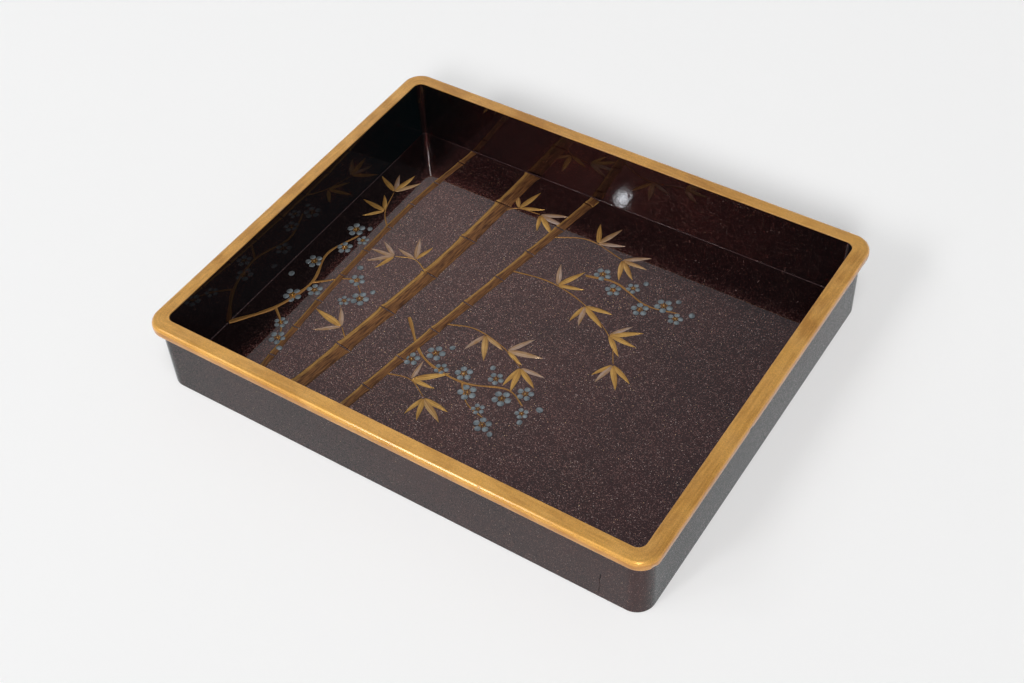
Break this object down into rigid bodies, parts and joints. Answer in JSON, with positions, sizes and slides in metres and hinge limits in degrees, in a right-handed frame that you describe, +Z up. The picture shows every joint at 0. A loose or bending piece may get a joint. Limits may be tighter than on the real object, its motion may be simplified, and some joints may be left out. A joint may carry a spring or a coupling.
{
  "type": "lacquered tray",
  "caption": "Deep rectangular lacquered wooden tray with rounded corners, slightly drafted walls, an overhanging gold rim and a gold-dusted floor with a raised plant design.",
  "frame": {"origin": "middle of the standing plane, under the middle of the tray", "axes": "+X along the long side, +Y from the front long side to the back one, +Z up"},
  "size_m": [0.54, 0.442, 0.0815],
  "materials": {
    "brown_lacquer": "very dark brown lacquer over wood, polished to a gloss, with fine gold flakes in it",
    "gold_lacquer": "satin gold-powder lacquer over wood, rubbed a little brighter on the upper edge",
    "bare_wood": "bare softwood, hidden inside the joints"
  },
  "bodies": {
    "root": {"floor_board_front": "brown_lacquer", "floor_board_middle": "brown_lacquer", "floor_board_back": "brown_lacquer", "wall_front": "brown_lacquer", "wall_right": "brown_lacquer", "wall_back": "brown_lacquer", "wall_left": "brown_lacquer", "corner_block_front_right": "brown_lacquer", "corner_block_back_right": "brown_lacquer", "corner_block_back_left": "brown_lacquer", "corner_block_front_left": "brown_lacquer", "rim_front": "gold_lacquer", "rim_right": "gold_lacquer", "rim_back": "gold_lacquer", "rim_left": "gold_lacquer", "board_dowels": "bare_wood", "corner_splines": "bare_wood", "floor_pegs": "bare_wood"}
  },
  "joints": []
}
